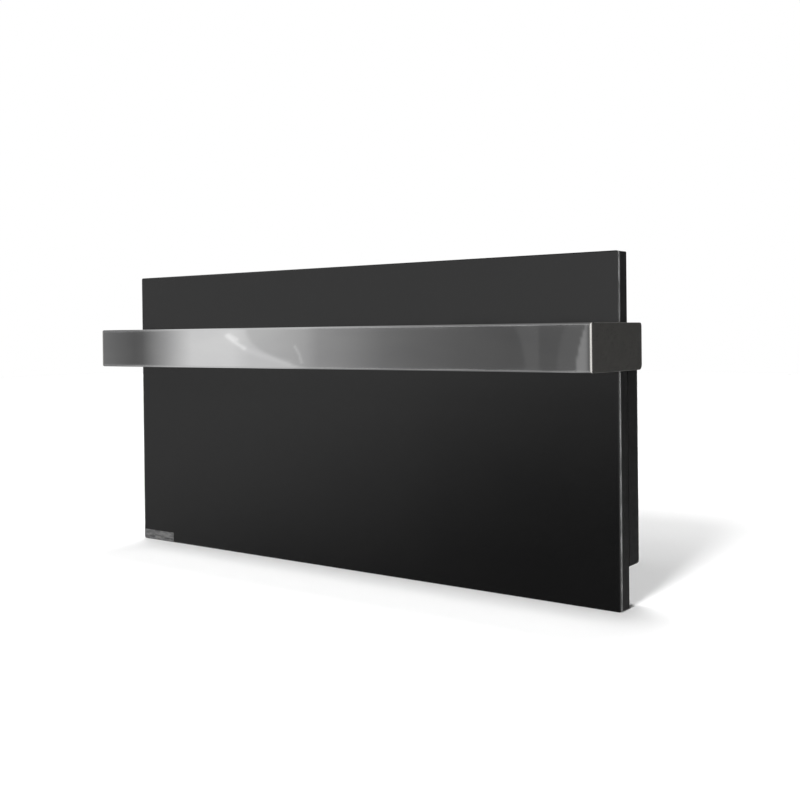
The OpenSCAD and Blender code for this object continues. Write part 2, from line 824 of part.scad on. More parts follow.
module wire_earth() {
    color([0.5, 0.65, 0.1]) swept_tube([
        [terminal_x + 11, slab_back + 7, terminal_z + 10], [terminal_x + 13, slab_back + 7, terminal_z + 18],
        [terminal_x + 26, slab_back + 8, terminal_z + 18], [terminal_x + 36, slab_back + 6, terminal_z + 4],
        [earth_x - 16, slab_back + 3, earth_z + 8], [earth_x - 4.6, slab_back + 2.6, earth_z + 1]
    ], wire_r);
}

// ---------------------------------------------------------------- towel bar

module towel_bar() {
    z0 = bar_z - bar_h / 2;
    z1 = bar_z + bar_h / 2;
    color([0.75, 0.75, 0.76]) difference() {
        along_x(-arm_inner, arm_inner)
            arc_rect([bar_front, z0], [bar_back, z1], [bar_r, bar_r, bar_r, bar_r]);
        along_x(-arm_inner - 1, arm_inner + 1) arc_rect([bar_front + bar_wall, z0 + bar_wall],
            [bar_back - bar_wall, z1 - bar_wall], [1, 1, 1, 1]);
        for (s = [-1, 1], dz = [-bar_screw_dz, bar_screw_dz])
            rod_y(s * (arm_inner - block_l / 2), bar_z + dz, 2.15, bar_back - 3, bar_back + 1);
    }
}

module bar_end_blocks() {
    gap = 0.1;
    color([0.7, 0.7, 0.72]) for (s = [-1, 1]) difference() {
        x = s * (arm_inner - block_l / 2);
        box([x - block_l / 2, bar_front + bar_wall + gap, bar_z - bar_h / 2 + bar_wall + 1.2],
            [x + block_l / 2, bar_back - bar_wall - gap, bar_z + bar_h / 2 - bar_wall - 1.2]);
        for (dz = [-bar_screw_dz, bar_screw_dz])
            rod_y(x, bar_z + dz, 2.05, bar_back - 10, bar_back);
    }
}

module bar_screws() {
    color([0.7, 0.7, 0.7]) for (s = [-1, 1], dz = [-bar_screw_dz, bar_screw_dz])
        facing_wall(s * (arm_inner - block_l / 2), bar_back, bar_z + dz) pan_screw(2, 8, 3.6, 2.2);
}

module bar_arm(side) {
    x0 = side > 0 ? arm_inner : -arm_outer;
    color([0.35, 0.35, 0.34]) along_x(x0, x0 + arm_t)
        arc_rect([bar_front, bar_z - bar_h / 2], [arm_back, bar_z + bar_h / 2],
            [bar_r, arm_rear_low_r, arm_rear_top_r, bar_r]);
}

module bar_arm_left() {
    bar_arm(-1);
}

module bar_arm_right() {
    bar_arm(1);
}

module arm_studs() {
    color([0.7, 0.7, 0.7]) for (s = [-1, 1], z = stud_zs) {
        x = s * (arm_inner - 7);
        rod_x(stud_y, z, stud_r, x - 7, x + 7);
    }
}

module arm_insulators() {
    color([0.12, 0.12, 0.12]) for (s = [-1, 1], z = stud_zs)
        to_side(s) difference() {
            union() {
                rod_x(stud_y, z, 7, half_w, arm_inner);
                rod_x(stud_y, z, 4, half_w - sheet, half_w + eps);
            }
            rod_x(stud_y, z, stud_r + 0.05, half_w - 3, arm_inner + 1);
        }
}

module arm_washers() {
    color([0.7, 0.7, 0.68]) for (s = [-1, 1], z = stud_zs)
        to_side(s) difference() {
            rod_x(stud_y, z, 6, half_w - sheet - 1, half_w - sheet);
            rod_x(stud_y, z, stud_r + 0.05, half_w - 5, half_w);
        }
}

module arm_nuts() {
    color([0.7, 0.7, 0.68]) for (s = [-1, 1], z = stud_zs)
        to_side(s) difference() {
            translate([half_w - sheet - 5, stud_y, z]) rotate([0, 90, 0])
                cylinder(r = 8 / sqrt(3), h = 4, $fn = 6);
            rod_x(stud_y, z, stud_r + 0.05, half_w - 10, half_w);
        }
}

// Mirrors the right side's fittings onto the left side.
module to_side(s) {
    mirror([s < 0 ? 1 : 0, 0, 0]) children();
}

// ---------------------------------------------------------------- wall mounting

module wall_buffers() {
    color([0.06, 0.06, 0.06]) for (s = [-1, 1])
        translate([s * buffer_x, 0, housing_z0 + 31]) rotate([90, 0, 0]) rotate_extrude() difference() {
            square([buffer_r, wall_gap]);
            translate([buffer_r - 1.5, 1.5]) rotate(-90) difference() {
                square(3);
                circle(1.5);
            }
        }
}

module wall_bracket(x) {
    color([0.35, 0.35, 0.35]) difference() {
        union() {
            along_y(-bracket_t, 0) arc_rect([x - bracket_w / 2, -bracket_h / 2],
                [x + bracket_w / 2, bracket_h / 2], [4, 4, 4, 4]);
            for (z = hook_zs) {
                box([x - hook_w / 2, hook_reach, z - bracket_t], [x + hook_w / 2, -bracket_t + eps, z]);
                along_y(hook_reach, hook_reach + bracket_t)
                    arc_rect([x - hook_w / 2, z - bracket_t], [x + hook_w / 2, z + hook_lip_h], [0, 0, 3, 3]);
            }
        }
        for (s = [-1, 1]) rod_y(x, s * fixing_pitch / 2, fixing_r, -bracket_t - 1, 1);
    }
}

module wall_bracket_left() {
    wall_bracket(bracket_xs[0]);
}

module wall_bracket_right() {
    wall_bracket(bracket_xs[1]);
}

module hook_liners() {
    color([0.85, 0.85, 0.82]) for (x = bracket_xs, z = hook_zs)
        box([x - hook_w / 2, hook_reach + bracket_t, z], [x + hook_w / 2, -bracket_t - 1, z + liner_t]);
}

// ---------------------------------------------------------------- assembly

front_glass();
name_badge();
bonding_frame();
casing_tray();
heating_film();
film_busbars();
reflector_foil();
insulation_blanket();
spacer_pads();
overheat_limiter();
rivet_nuts();
lead_grommet();
rear_housing();
housing_screws();
terminal_cover();
terminal_cover_screws();
terminal_block();
terminal_screws();
earth_stud();
earth_nut();
cable_gland_body();
gland_seal();
gland_cap();
gland_locknut();
rocker_switch_body();
rocker();
thermostat_body();
thermostat_screws();
thermostat_spindle();
thermostat_knob();
sensor_bulb();
sensor_clips();
capillary_tube();
wire_switch_feed();
wire_thermostat_feed();
lead_live();
lead_neutral();
wire_earth();
towel_bar();
bar_end_blocks();
bar_screws();
bar_arm_left();
bar_arm_right();
arm_studs();
arm_insulators();
arm_washers();
arm_nuts();
wall_buffers();
wall_bracket_left();
wall_bracket_right();
hook_liners();
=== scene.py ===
"""Looks of a wall-hung glass panel heater with a flat towel bar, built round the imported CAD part."""

import json
import math

import bmesh
import bpy
from mathutils import Matrix, Vector


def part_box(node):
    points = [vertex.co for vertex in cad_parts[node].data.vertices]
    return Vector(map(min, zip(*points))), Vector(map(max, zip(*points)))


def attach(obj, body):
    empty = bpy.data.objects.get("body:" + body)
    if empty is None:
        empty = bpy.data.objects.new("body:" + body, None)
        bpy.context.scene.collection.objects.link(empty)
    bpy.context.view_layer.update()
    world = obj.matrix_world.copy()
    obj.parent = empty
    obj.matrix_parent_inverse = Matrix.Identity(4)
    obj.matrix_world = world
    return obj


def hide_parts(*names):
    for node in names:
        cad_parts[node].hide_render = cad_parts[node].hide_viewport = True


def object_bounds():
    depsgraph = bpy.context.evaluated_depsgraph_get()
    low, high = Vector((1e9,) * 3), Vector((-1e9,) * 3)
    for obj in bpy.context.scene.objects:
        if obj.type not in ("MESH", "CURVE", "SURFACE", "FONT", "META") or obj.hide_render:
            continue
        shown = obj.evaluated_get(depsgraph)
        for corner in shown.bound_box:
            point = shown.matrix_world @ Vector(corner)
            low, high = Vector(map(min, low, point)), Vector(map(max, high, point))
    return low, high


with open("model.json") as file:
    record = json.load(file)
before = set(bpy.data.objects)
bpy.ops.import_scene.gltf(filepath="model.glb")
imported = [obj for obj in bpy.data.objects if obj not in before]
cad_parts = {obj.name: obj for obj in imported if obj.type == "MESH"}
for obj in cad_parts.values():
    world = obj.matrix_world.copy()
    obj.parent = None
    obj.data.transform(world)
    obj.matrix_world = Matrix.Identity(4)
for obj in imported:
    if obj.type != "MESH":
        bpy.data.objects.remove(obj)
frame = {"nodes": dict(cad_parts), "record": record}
CAD_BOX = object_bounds()
NODES = frame["nodes"]
MM = 0.001

# ---------------------------------------------------------------- sizes that part.scad also holds

SHEET = 1.2 * MM
ARRIS = 1.2 * MM
TRAY_FLANGE = 14 * MM
HOUSING_FLANGE = 12 * MM
CONTROL_Y = -24 * MM
STUD_Y = -23 * MM
KNOB_Z = -95 * MM
POINTER_RISE = 0.6 * MM
ROCKER_Z = -150 * MM
TERMINAL = (-430 * MM, -150 * MM)
SCREW_XS = [(-450 + 180 * i) * MM for i in range(6)]
SCREW_ZS = (147 * MM, -197 * MM)
STUD_ZS = (97 * MM, 127 * MM)
BRACKET_XS = (-350 * MM, 350 * MM)
BRACKET_SHEET = 2 * MM
FIXING_ZS = (-100 * MM, 100 * MM)
HOOK_ZS = (50 * MM, -50 * MM)
HOOK_HALF = 11 * MM
HOOK_LIP = 10 * MM
HOOK_WINDOW = (28 * MM, 18 * MM)
HOOK_WINDOW_DROP = 7.75 * MM
VENT_PITCH = 15 * MM
VENT_SLOT = (4 * MM, 24 * MM)
UPPER_VENTS_DROP = 21 * MM
LOWER_VENTS_RISE = 31 * MM
LOUVRE_PITCH = 50 * MM
LOUVRE_SLOT = (4 * MM, 36 * MM)
LOUVRE_DEPTHS = (6 * MM, 14 * MM)
TERMINAL_WINDOW = (76 * MM, 50 * MM)
ROCKER_WINDOW = (12.8 * MM, 19.2 * MM)
COVER_SCREWS = [(TERMINAL[0] + x * MM, TERMINAL[1] + z * MM) for x in (-41, 41) for z in (-28, 28)]

# ---------------------------------------------------------------- arithmetic


def clamp(t):
    """t held between 0 and 1."""
    return min(max(t, 0.0), 1.0)


def smooth(t):
    """From 0 to 1 with level ends, as t goes from 0 to 1."""
    t = clamp(t)
    return t * t * (3 - 2 * t)


def evenly(low, high, count):
    """The count + 1 places that divide low to high evenly."""
    return [low + (high - low) * k / count for k in range(count + 1)]


def centred(count, pitch):
    """This many places a pitch apart, about 0."""
    return [(i - (count - 1) / 2) * pitch for i in range(count)]


def between(stops, x):
    """Straight lines through (position, value) stops."""
    if x <= stops[0][0]:
        return stops[0][1]
    for (x0, y0), (x1, y1) in zip(stops, stops[1:]):
        if x <= x1:
            return y0 + (y1 - y0) * (x - x0) / (x1 - x0)
    return stops[-1][1]


# ---------------------------------------------------------------- meshes made from rings

TINY = 0.02 * MM
AXES = {"X": (0, 1, 2), "Y": (1, 0, 2), "Z": (2, 0, 1)}


def place(axis, along, u, v):
    """The point at `along` on the axis and at u, v on the other two, in their own order."""
    a, b, c = AXES[axis]
    p = Vector((0, 0, 0))
    p[a], p[b], p[c] = along, u, v
    return p


def split(axis, p):
    """A point's place along the axis, and its other two coordinates."""
    a, b, c = AXES[axis]
    return p[a], (p[b], p[c])


def outline(lo, hi, radii, steps):
    """Points anticlockwise round a rectangle with its own arc at each corner, from low-left on."""
    points = []
    for (su, sv, start), radius in zip(((-1, -1, 180), (1, -1, 270), (1, 1, 0), (-1, 1, 90)), radii):
        r = max(radius, TINY)
        cu = lo[0] + r if su < 0 else hi[0] - r
        cv = lo[1] + r if sv < 0 else hi[1] - r
        for k in range(steps + 1):
            a = math.radians(start + 90 * k / steps)
            points.append((cu + r * math.cos(a), cv + r * math.sin(a)))
    return points


def inset_at(depth, radius):
    """How far an edge of that radius stands back at a depth from its end face."""
    if depth >= radius:
        return 0.0
    return radius - math.sqrt(max(radius**2 - (radius - depth) ** 2, 0.0))


def edge_depths(radii, steps):
    """The depths at which rings follow edges of these radii."""
    depths = {0.0}
    for r in set(radii):
        for k in range(1, steps + 1):
            depths.add(round(r * (1 - math.cos(math.pi / 2 * k / steps)), 8))
    return sorted(depths)


def arc_stages(radius, steps=6):
    """(depth, inset) pairs round an edge, from its end face on."""
    return [(d, inset_at(d, radius)) for d in edge_depths([radius], steps)]


def ring(axis, along, lo, hi, radii, steps, insets=(0, 0, 0, 0)):
    """A rounded rectangle across the axis, pulled in at its low u, low v, high u and high v sides."""
    u0, v0, u1, v1 = insets
    corners = [max(r - max(pair), 0) for r, pair in zip(radii, ((u0, v0), (u1, v0), (u1, v1), (u0, v1)))]
    flat = outline((lo[0] + u0, lo[1] + v0), (hi[0] - u1, hi[1] - v1), corners, steps)
    return [place(axis, along, u, v) for u, v in flat]


def loft(bm, rings, closed=False):
    """Skins rings that have the same number of points, and caps both ends unless the loft is closed."""
    rows = [[bm.verts.new(p) for p in r] for r in rings]
    pairs = list(zip(rows, rows[1:]))
    if closed:
        pairs.append((rows[-1], rows[0]))
    count = len(rows[0])
    for low, high in pairs:
        for i in range(count):
            j = (i + 1) % count
            bm.faces.new((low[i], low[j], high[j], high[i]))
    if not closed:
        bm.faces.new(rows[0][::-1])
        bm.faces.new(rows[-1])


def block(bm, axis, lo, hi, corners, start=0.0, end=0.0, steps=6, edge_steps=4):
    """A solid block with arcs at its four long corners and rounded edges at its two ends.
    start and end are one radius, or one for each of the low u, low v, high u and high v sides."""
    a0, lo2 = split(axis, lo)
    a1, hi2 = split(axis, hi)
    start = (start,) * 4 if isinstance(start, (int, float)) else start
    end = (end,) * 4 if isinstance(end, (int, float)) else end
    rings = []
    for d in edge_depths(start, edge_steps):
        rings.append(ring(axis, a0 + d, lo2, hi2, corners, steps, [inset_at(d, r) for r in start]))
    for d in reversed(edge_depths(end, edge_steps)):
        rings.append(ring(axis, a1 - d, lo2, hi2, corners, steps, [inset_at(d, r) for r in end]))
    loft(bm, rings)


def circle(axis, along, centre, radius, sides, shape=None):
    """A round ring. shape gives how far it is pulled in at each share of a turn."""
    points = []
    for k in range(sides):
        a = 2 * math.pi * k / sides
        r = radius - (shape(k / sides) if shape else 0)
        points.append(place(axis, along, centre[0] + r * math.cos(a), centre[1] + r * math.sin(a)))
    return points


def turned(bm, axis, centre, profile, sides):
    """A turned solid from (along, radius) or (along, radius, shape) stages."""
    loft(bm, [circle(axis, s[0], centre, s[1], sides, *s[2:]) for s in profile])


def bore(bm, axis, span, centre, radius, sides=24):
    """A plain round bar between the two ends of a span."""
    turned(bm, axis, centre, [(along, radius) for along in span], sides)


def prism(bm, axis, span, points):
    """A flat outline drawn out along the axis between the two ends of a span."""
    loft(bm, [[place(axis, along, u, v) for u, v in points] for along in span])


def window(bm, axis, span, centre, size):
    """A rectangular bar with slightly rounded corners, to cut an opening with."""
    low = (centre[0] - size[0] / 2, centre[1] - size[1] / 2)
    high = (centre[0] + size[0] / 2, centre[1] + size[1] / 2)
    prism(bm, axis, span, outline(low, high, (0.6 * MM,) * 4, 3))


def slot_points(centre, size):
    """A slot with round ends, its long side along v."""
    steps = 8
    r = size[0] / 2
    straight = size[1] / 2 - r
    points = []
    for side, turn in ((1, 0), (-1, 180)):
        for k in range(steps + 1):
            a = math.radians(turn + 180 * k / steps)
            points.append((centre[0] + r * math.cos(a), centre[1] + side * straight + r * math.sin(a)))
    return points


def shown(name, bm):
    """A new object from a bmesh."""
    bmesh.ops.recalc_face_normals(bm, faces=bm.faces)
    mesh = bpy.data.meshes.new(name)
    bm.to_mesh(mesh)
    bm.free()
    piece = bpy.data.objects.new(name, mesh)
    bpy.context.scene.collection.objects.link(piece)
    return piece


def drop(piece):
    """Removes a piece and its mesh."""
    mesh = piece.data
    bpy.data.objects.remove(piece)
    bpy.data.meshes.remove(mesh)


def taken(piece):
    """The bmesh of a piece, which is removed."""
    bm = bmesh.new()
    bm.from_mesh(piece.data)
    drop(piece)
    return bm


def combine(piece, bm, operation):
    """Cuts a piece with a bmesh, joins it on or keeps what they share, and applies the result."""
    tool = shown("tool", bm)
    step = piece.modifiers.new("combine", "BOOLEAN")
    step.solver = "EXACT"
    step.operation = operation
    step.object = tool
    bpy.context.view_layer.update()
    graph = bpy.context.evaluated_depsgraph_get()
    made = bpy.data.meshes.new_from_object(piece.evaluated_get(graph))
    made.name = piece.name
    piece.modifiers.clear()
    old = piece.data
    piece.data = made
    bpy.data.meshes.remove(old)
    drop(tool)


def add_bevel(piece, width, segments=2):
    """Rounds the sharp edges that the rings didn't."""
    step = piece.modifiers.new("edges", "BEVEL")
    step.width = width
    step.segments = segments
    step.limit_method = "ANGLE"
    step.angle_limit = math.radians(40)
    step.harden_normals = False


def finish_piece(piece, body, materials, replaced=(), sharp=40):
    """Shades a piece, gives it its materials and puts it on its body."""
    mesh = piece.data
    for m in materials:
        mesh.materials.append(m)
    mesh.polygons.foreach_set("use_smooth", [True] * len(mesh.polygons))
    mesh.set_sharp_from_angle(angle=math.radians(sharp))
    normals = piece.modifiers.new("normals", "WEIGHTED_NORMAL")
    normals.keep_sharp = True
    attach(piece, body)
    if replaced:
        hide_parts(*replaced)
    return piece


# ---------------------------------------------------------------- materials


def surface(name, colour, metallic=0.0, roughness=0.5, **sockets):
    """A material whose shader has these constants."""
    mat = bpy.data.materials.new(name)
    mat.use_nodes = True
    shader = mat.node_tree.nodes["Principled BSDF"]
    shader.inputs["Base Color"].default_value = (*colour, 1)
    shader.inputs["Metallic"].default_value = metallic
    shader.inputs["Roughness"].default_value = roughness
    for key, value in sockets.items():
        shader.inputs[key.replace("_", " ")].default_value = value
    return mat


def noise(mat, scale, detail=3.0, stretch=(1, 1, 1)):
    """Noise over the piece's own coordinates, in features per metre."""
    tree = mat.node_tree
    coords = tree.nodes.new("ShaderNodeTexCoord")
    mapping = tree.nodes.new("ShaderNodeMapping")
    mapping.inputs["Scale"].default_value = stretch
    texture = tree.nodes.new("ShaderNodeTexNoise")
    texture.inputs["Scale"].default_value = scale
    texture.inputs["Detail"].default_value = detail
    tree.links.new(coords.outputs["Object"], mapping.inputs["Vector"])
    tree.links.new(mapping.outputs["Vector"], texture.inputs["Vector"])
    return texture.outputs["Fac"]


def tint(mat, dark, light, scale, detail=3.0, stretch=(1, 1, 1), spread=(0.35, 0.65)):
    """Base colour that wanders between two tones."""
    tree = mat.node_tree
    ramp = tree.nodes.new("ShaderNodeValToRGB")
    ramp.color_ramp.elements[0].position = spread[0]
    ramp.color_ramp.elements[0].color = (*dark, 1)
    ramp.color_ramp.elements[1].position = spread[1]
    ramp.color_ramp.elements[1].color = (*light, 1)
    tree.links.new(noise(mat, scale, detail, stretch), ramp.inputs["Fac"])
    tree.links.new(ramp.outputs["Color"], tree.nodes["Principled BSDF"].inputs["Base Color"])


def vary_roughness(mat, low, high, scale, detail=3.0, stretch=(1, 1, 1)):
    """Roughness that wanders between two values."""
    tree = mat.node_tree
    spread = tree.nodes.new("ShaderNodeMapRange")
    spread.inputs["From Min"].default_value = 0.3
    spread.inputs["From Max"].default_value = 0.7
    spread.inputs["To Min"].default_value = low
    spread.inputs["To Max"].default_value = high
    tree.links.new(noise(mat, scale, detail, stretch), spread.inputs["Value"])
    tree.links.new(spread.outputs["Result"], tree.nodes["Principled BSDF"].inputs["Roughness"])


def bump(mat, height, scale, detail=3.0, stretch=(1, 1, 1)):
    """Relief of that height in metres."""
    tree = mat.node_tree
    relief = tree.nodes.new("ShaderNodeBump")
    relief.inputs["Distance"].default_value = height
    relief.inputs["Strength"].default_value = 1.0
    tree.links.new(noise(mat, scale, detail, stretch), relief.inputs["Height"])
    tree.links.new(relief.outputs["Normal"], tree.nodes["Principled BSDF"].inputs["Normal"])


def make_black_glass():
    """Back-painted black glass: a deep black body under a polished face."""
    mat = surface("black_glass", (0.0015, 0.0015, 0.0015), roughness=0.04)
    tint(mat, (0.0012, 0.0012, 0.0013), (0.0018, 0.0018, 0.0018), 9)
    vary_roughness(mat, 0.025, 0.05, 30)
    return mat


def make_ground_edge():
    """The sawn and ground rim of the glass, which is pale and a little mottled."""
    mat = surface("ground_glass_edge", (0.3, 0.3, 0.3), roughness=0.5)
    tint(mat, (0.16, 0.162, 0.16), (0.4, 0.405, 0.4), 45, detail=6)
    bump(mat, 0.00005, 2500)
    return mat


def make_powder():
    """Fine-textured black powder coat."""
    mat = surface("black_powder_coat", (0.008, 0.008, 0.008), roughness=0.5, Specular_IOR_Level=0.4)
    tint(mat, (0.0065, 0.0065, 0.0068), (0.0105, 0.0105, 0.0105), 1400, detail=2)
    vary_roughness(mat, 0.42, 0.58, 60)
    bump(mat, 0.00006, 1600, detail=2)
    return mat


def make_polished_steel():
    """Mirror-polished stainless steel with the faint drag of the polishing belt."""
    mat = surface("polished_stainless", (0.7, 0.7, 0.7), metallic=1.0, roughness=0.04)
    tint(mat, (0.68, 0.68, 0.685), (0.72, 0.72, 0.72), 25, stretch=(0.3, 1, 1))
    vary_roughness(mat, 0.012, 0.03, 900, stretch=(0.02, 1, 1))
    return mat


def make_arm_steel():
    """Satin stainless steel, a touch warmer, with a fine all-over grain."""
    mat = surface("satin_stainless", (0.55, 0.54, 0.52), metallic=1.0, roughness=0.28)
    tint(mat, (0.51, 0.5, 0.48), (0.55, 0.54, 0.515), 60, detail=6)
    vary_roughness(mat, 0.27, 0.3, 900, detail=4)
    bump(mat, 0.000003, 2500, detail=4)
    return mat


def make_brushed_badge():
    """Brushed aluminium with cloudy anodising."""
    mat = surface("brushed_aluminium", (0.4, 0.4, 0.4), metallic=1.0, roughness=0.4)
    tint(mat, (0.14, 0.14, 0.142), (0.38, 0.38, 0.38), 130, detail=6, stretch=(0.5, 1, 1.6))
    vary_roughness(mat, 0.3, 0.45, 2500, stretch=(0.02, 1, 1))
    bump(mat, 0.00002, 4000, stretch=(0.02, 1, 1))
    return mat


def make_metal(name, dark, light, roughness, scale=300, height=0.00002):
    """A metal with cloudy tones, uneven polish and fine relief."""
    mat = surface(name, light, metallic=1.0, roughness=roughness)
    tint(mat, dark, light, scale, detail=4)
    vary_roughness(mat, roughness * 0.8, roughness * 1.25, scale * 2)
    bump(mat, height, scale * 4)
    return mat


def make_plastic(name, dark, light, roughness, scale=400, height=0.00003):
    """A moulded, coated or felted surface, from two tones, its roughness and its grain."""
    mat = surface(name, light, roughness=roughness)
    tint(mat, dark, light, scale * 0.2, detail=4)
    vary_roughness(mat, roughness * 0.85, roughness * 1.15, scale)
    bump(mat, height, scale * 3, detail=2)
    return mat


def make_earth_insulation():
    """Green and yellow earth wire: bands that wander along the wire."""
    mat = surface("earth_insulation", (0.1, 0.4, 0.05), roughness=0.4)
    tint(mat, (0.03, 0.28, 0.04), (0.75, 0.6, 0.03), 90, detail=1, spread=(0.49, 0.51))
    bump(mat, 0.00003, 900)
    return mat


def grey(v, warm=0.0):
    """A grey of this level, warmer or cooler by a share."""
    return (v * (1 + warm), v, v * (1 - warm))


def make_materials():
    """One finish for each material slot of the record."""
    return {
        "black_glass": make_black_glass(),
        "ground_edge": make_ground_edge(),
        "brushed_badge": make_brushed_badge(),
        "silicone_black": make_plastic("black_silicone", grey(0.012), grey(0.02), 0.55),
        "powder_black": make_powder(),
        "film": make_plastic("heating_film", (0.10, 0.06, 0.03), (0.16, 0.10, 0.05), 0.35, scale=120),
        "copper": make_metal("copper", (0.62, 0.28, 0.16), (0.82, 0.42, 0.26), 0.3),
        "foil": make_metal("aluminium_foil", grey(0.75), grey(0.9), 0.28, scale=60, height=0.0003),
        "wool": make_plastic(
            "ceramic_wool", grey(0.55, 0.06), grey(0.8, 0.04), 0.95, scale=700, height=0.0006),
        "ceramic": make_plastic("ceramic", grey(0.6, 0.05), grey(0.72, 0.04), 0.4),
        "zinc_steel": make_metal("zinc_plated_steel", grey(0.48, -0.03), grey(0.66, -0.01), 0.34),
        "black_screw": make_metal("black_zinc_screw", grey(0.04), grey(0.07), 0.38, scale=900),
        "terminal_plastic": make_plastic("polyamide_natural", grey(0.62, 0.03), grey(0.75, 0.03), 0.45),
        "brass": make_metal("brass", (0.62, 0.43, 0.18), (0.78, 0.58, 0.28), 0.3),
        "gland_plastic": make_plastic("black_polyamide", grey(0.014), grey(0.024), 0.42),
        "rubber": make_plastic("black_rubber", grey(0.016), grey(0.03), 0.75, scale=900),
        "switch_plastic": make_plastic("switch_moulding", grey(0.016), grey(0.026), 0.4, scale=900),
        "rocker_gloss": make_plastic(
            "gloss_moulding", grey(0.01), grey(0.014), 0.14, scale=80, height=0.00001),
        "knob_plastic": make_plastic("knob_moulding", grey(0.016), grey(0.026), 0.36, scale=900),
        "white_paint": make_plastic("white_print", grey(0.68), grey(0.8), 0.5),
        "wire_brown": make_plastic("brown_insulation", (0.10, 0.035, 0.012), (0.15, 0.05, 0.02), 0.4),
        "wire_black": make_plastic("black_insulation", grey(0.012), grey(0.02), 0.4),
        "wire_red": make_plastic("red_insulation", (0.4, 0.015, 0.01), (0.52, 0.02, 0.015), 0.4),
        "wire_blue": make_plastic("blue_insulation", (0.01, 0.06, 0.35), (0.015, 0.09, 0.5), 0.4),
        "wire_green": make_earth_insulation(),
        "polished_steel": make_polished_steel(),
        "arm_steel": make_arm_steel(),
        "bar_fitting": make_metal("plain_stainless", grey(0.5), grey(0.62), 0.25),
        "bracket_steel": make_metal("galvanised_steel", grey(0.40, -0.02), grey(0.62), 0.38, scale=90),
        "liner_nylon": make_plastic("white_nylon", grey(0.68, 0.02), grey(0.8, 0.02), 0.4),
    }


MATERIALS = make_materials()

# ---------------------------------------------------------------- glass panel


def glass_panel():
    """The glass with its polished arris, ground rim and seamed back edge."""
    lo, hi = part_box("front_glass")
    seam = 0.3 * MM
    soft = 0.15 * MM
    stages = (
        (lo.y, ARRIS + soft), (lo.y + soft * 0.3, ARRIS - soft * 0.3), (lo.y + ARRIS - soft, soft * 0.6),
        (lo.y + ARRIS + soft, 0), (hi.y - seam, 0), (hi.y, seam),
    )
    bm = bmesh.new()
    _, lo2 = split("Y", lo)
    _, hi2 = split("Y", hi)
    corner = 3 * MM
    loft(bm, [ring("Y", y, lo2, hi2, (corner,) * 4, 8, (i,) * 4) for y, i in stages])
    bmesh.ops.recalc_face_normals(bm, faces=bm.faces)
    for face in bm.faces:
        face.material_index = 1 if abs(face.normal.y) < 0.1 else 0
    piece = shown("glass_panel", bm)
    face_and_rim = [MATERIALS["black_glass"], MATERIALS["ground_edge"]]
    finish_piece(piece, "heater", face_and_rim, ["front_glass"], sharp=25)


def badge():
    """The small plate in the glass's low left corner, left blank, with rolled edges."""
    lo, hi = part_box("name_badge")
    bm = bmesh.new()
    corners = (2.5 * MM, 0.8 * MM, 0.8 * MM, 0.8 * MM)
    block(bm, "Y", lo, hi, corners, start=0.3 * MM)
    piece = shown("badge_plate", bm)
    finish_piece(piece, "heater", [MATERIALS["brushed_badge"]], ["name_badge"])


def tray_holes(back):
    """A cutter for the holes in the tray's back: rivet nuts, the leads' grommet and the earth stud."""
    span = (back - 2 * SHEET, back + SHEET)
    rivet, grommet, earth = 3.05 * MM, 5 * MM, 2.05 * MM
    bm = bmesh.new()
    for x in SCREW_XS:
        for z in SCREW_ZS:
            bore(bm, "Y", span, (x, z), rivet)
    for node, radius in (("lead_grommet", grommet), ("earth_stud", earth)):
        lo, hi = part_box(node)
        middle = (lo + hi) / 2
        bore(bm, "Y", span, (middle.x, middle.z), radius)
    return bm


def tray():
    """The folded steel tray: its back with rolled edges, its sides and its inward front flange."""
    lo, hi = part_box("casing_tray")
    _, lo2 = split("Y", lo)
    _, hi2 = split("Y", hi)
    outer, inner, front = 1.6 * MM, 0.4 * MM, 0.8 * MM
    stages = [(hi.y - d, i) for d, i in arc_stages(outer)]
    stages += [(lo.y + d, i) for d, i in reversed(arc_stages(front, 3))]
    stages += [(lo.y, TRAY_FLANGE), (lo.y + SHEET, TRAY_FLANGE), (lo.y + SHEET, SHEET)]
    stages += [(hi.y - SHEET - d, SHEET + i) for d, i in reversed(arc_stages(inner))]
    bm = bmesh.new()
    loft(bm, [ring("Y", y, lo2, hi2, (outer,) * 4, 4, (i,) * 4) for y, i in stages])
    piece = shown("tray_shell", bm)
    combine(piece, tray_holes(hi.y), "DIFFERENCE")
    finish_piece(piece, "heater", [MATERIALS["powder_black"]], ["casing_tray"])


# ---------------------------------------------------------------- rear housing


def housing_shell_mesh(lo, hi):
    """The open pan: rolled edges of 8 mm above and below and 2 mm at the sides."""
    low = (lo.x, lo.z + HOUSING_FLANGE)
    high = (hi.x, hi.z - HOUSING_FLANGE)
    corner, side, lid = 1.4 * MM, 2 * MM, 8 * MM

    def stage(y, depth, base):
        i_side = base + inset_at(depth, side - base)
        i_lid = base + inset_at(depth, lid - base)
        return ring("Y", y, low, high, (corner,) * 4, 3, (i_side, i_lid, i_side, i_lid))

    outer = edge_depths([side, lid], 6)
    inner = edge_depths([side - SHEET, lid - SHEET], 6)
    rings = [stage(hi.y - d, d, 0) for d in outer]
    rings += [stage(lo.y, lid, 0), stage(lo.y, lid, SHEET)]
    rings += [stage(hi.y - SHEET - d, d, SHEET) for d in reversed(inner)]
    bm = bmesh.new()
    loft(bm, rings)
    return bm


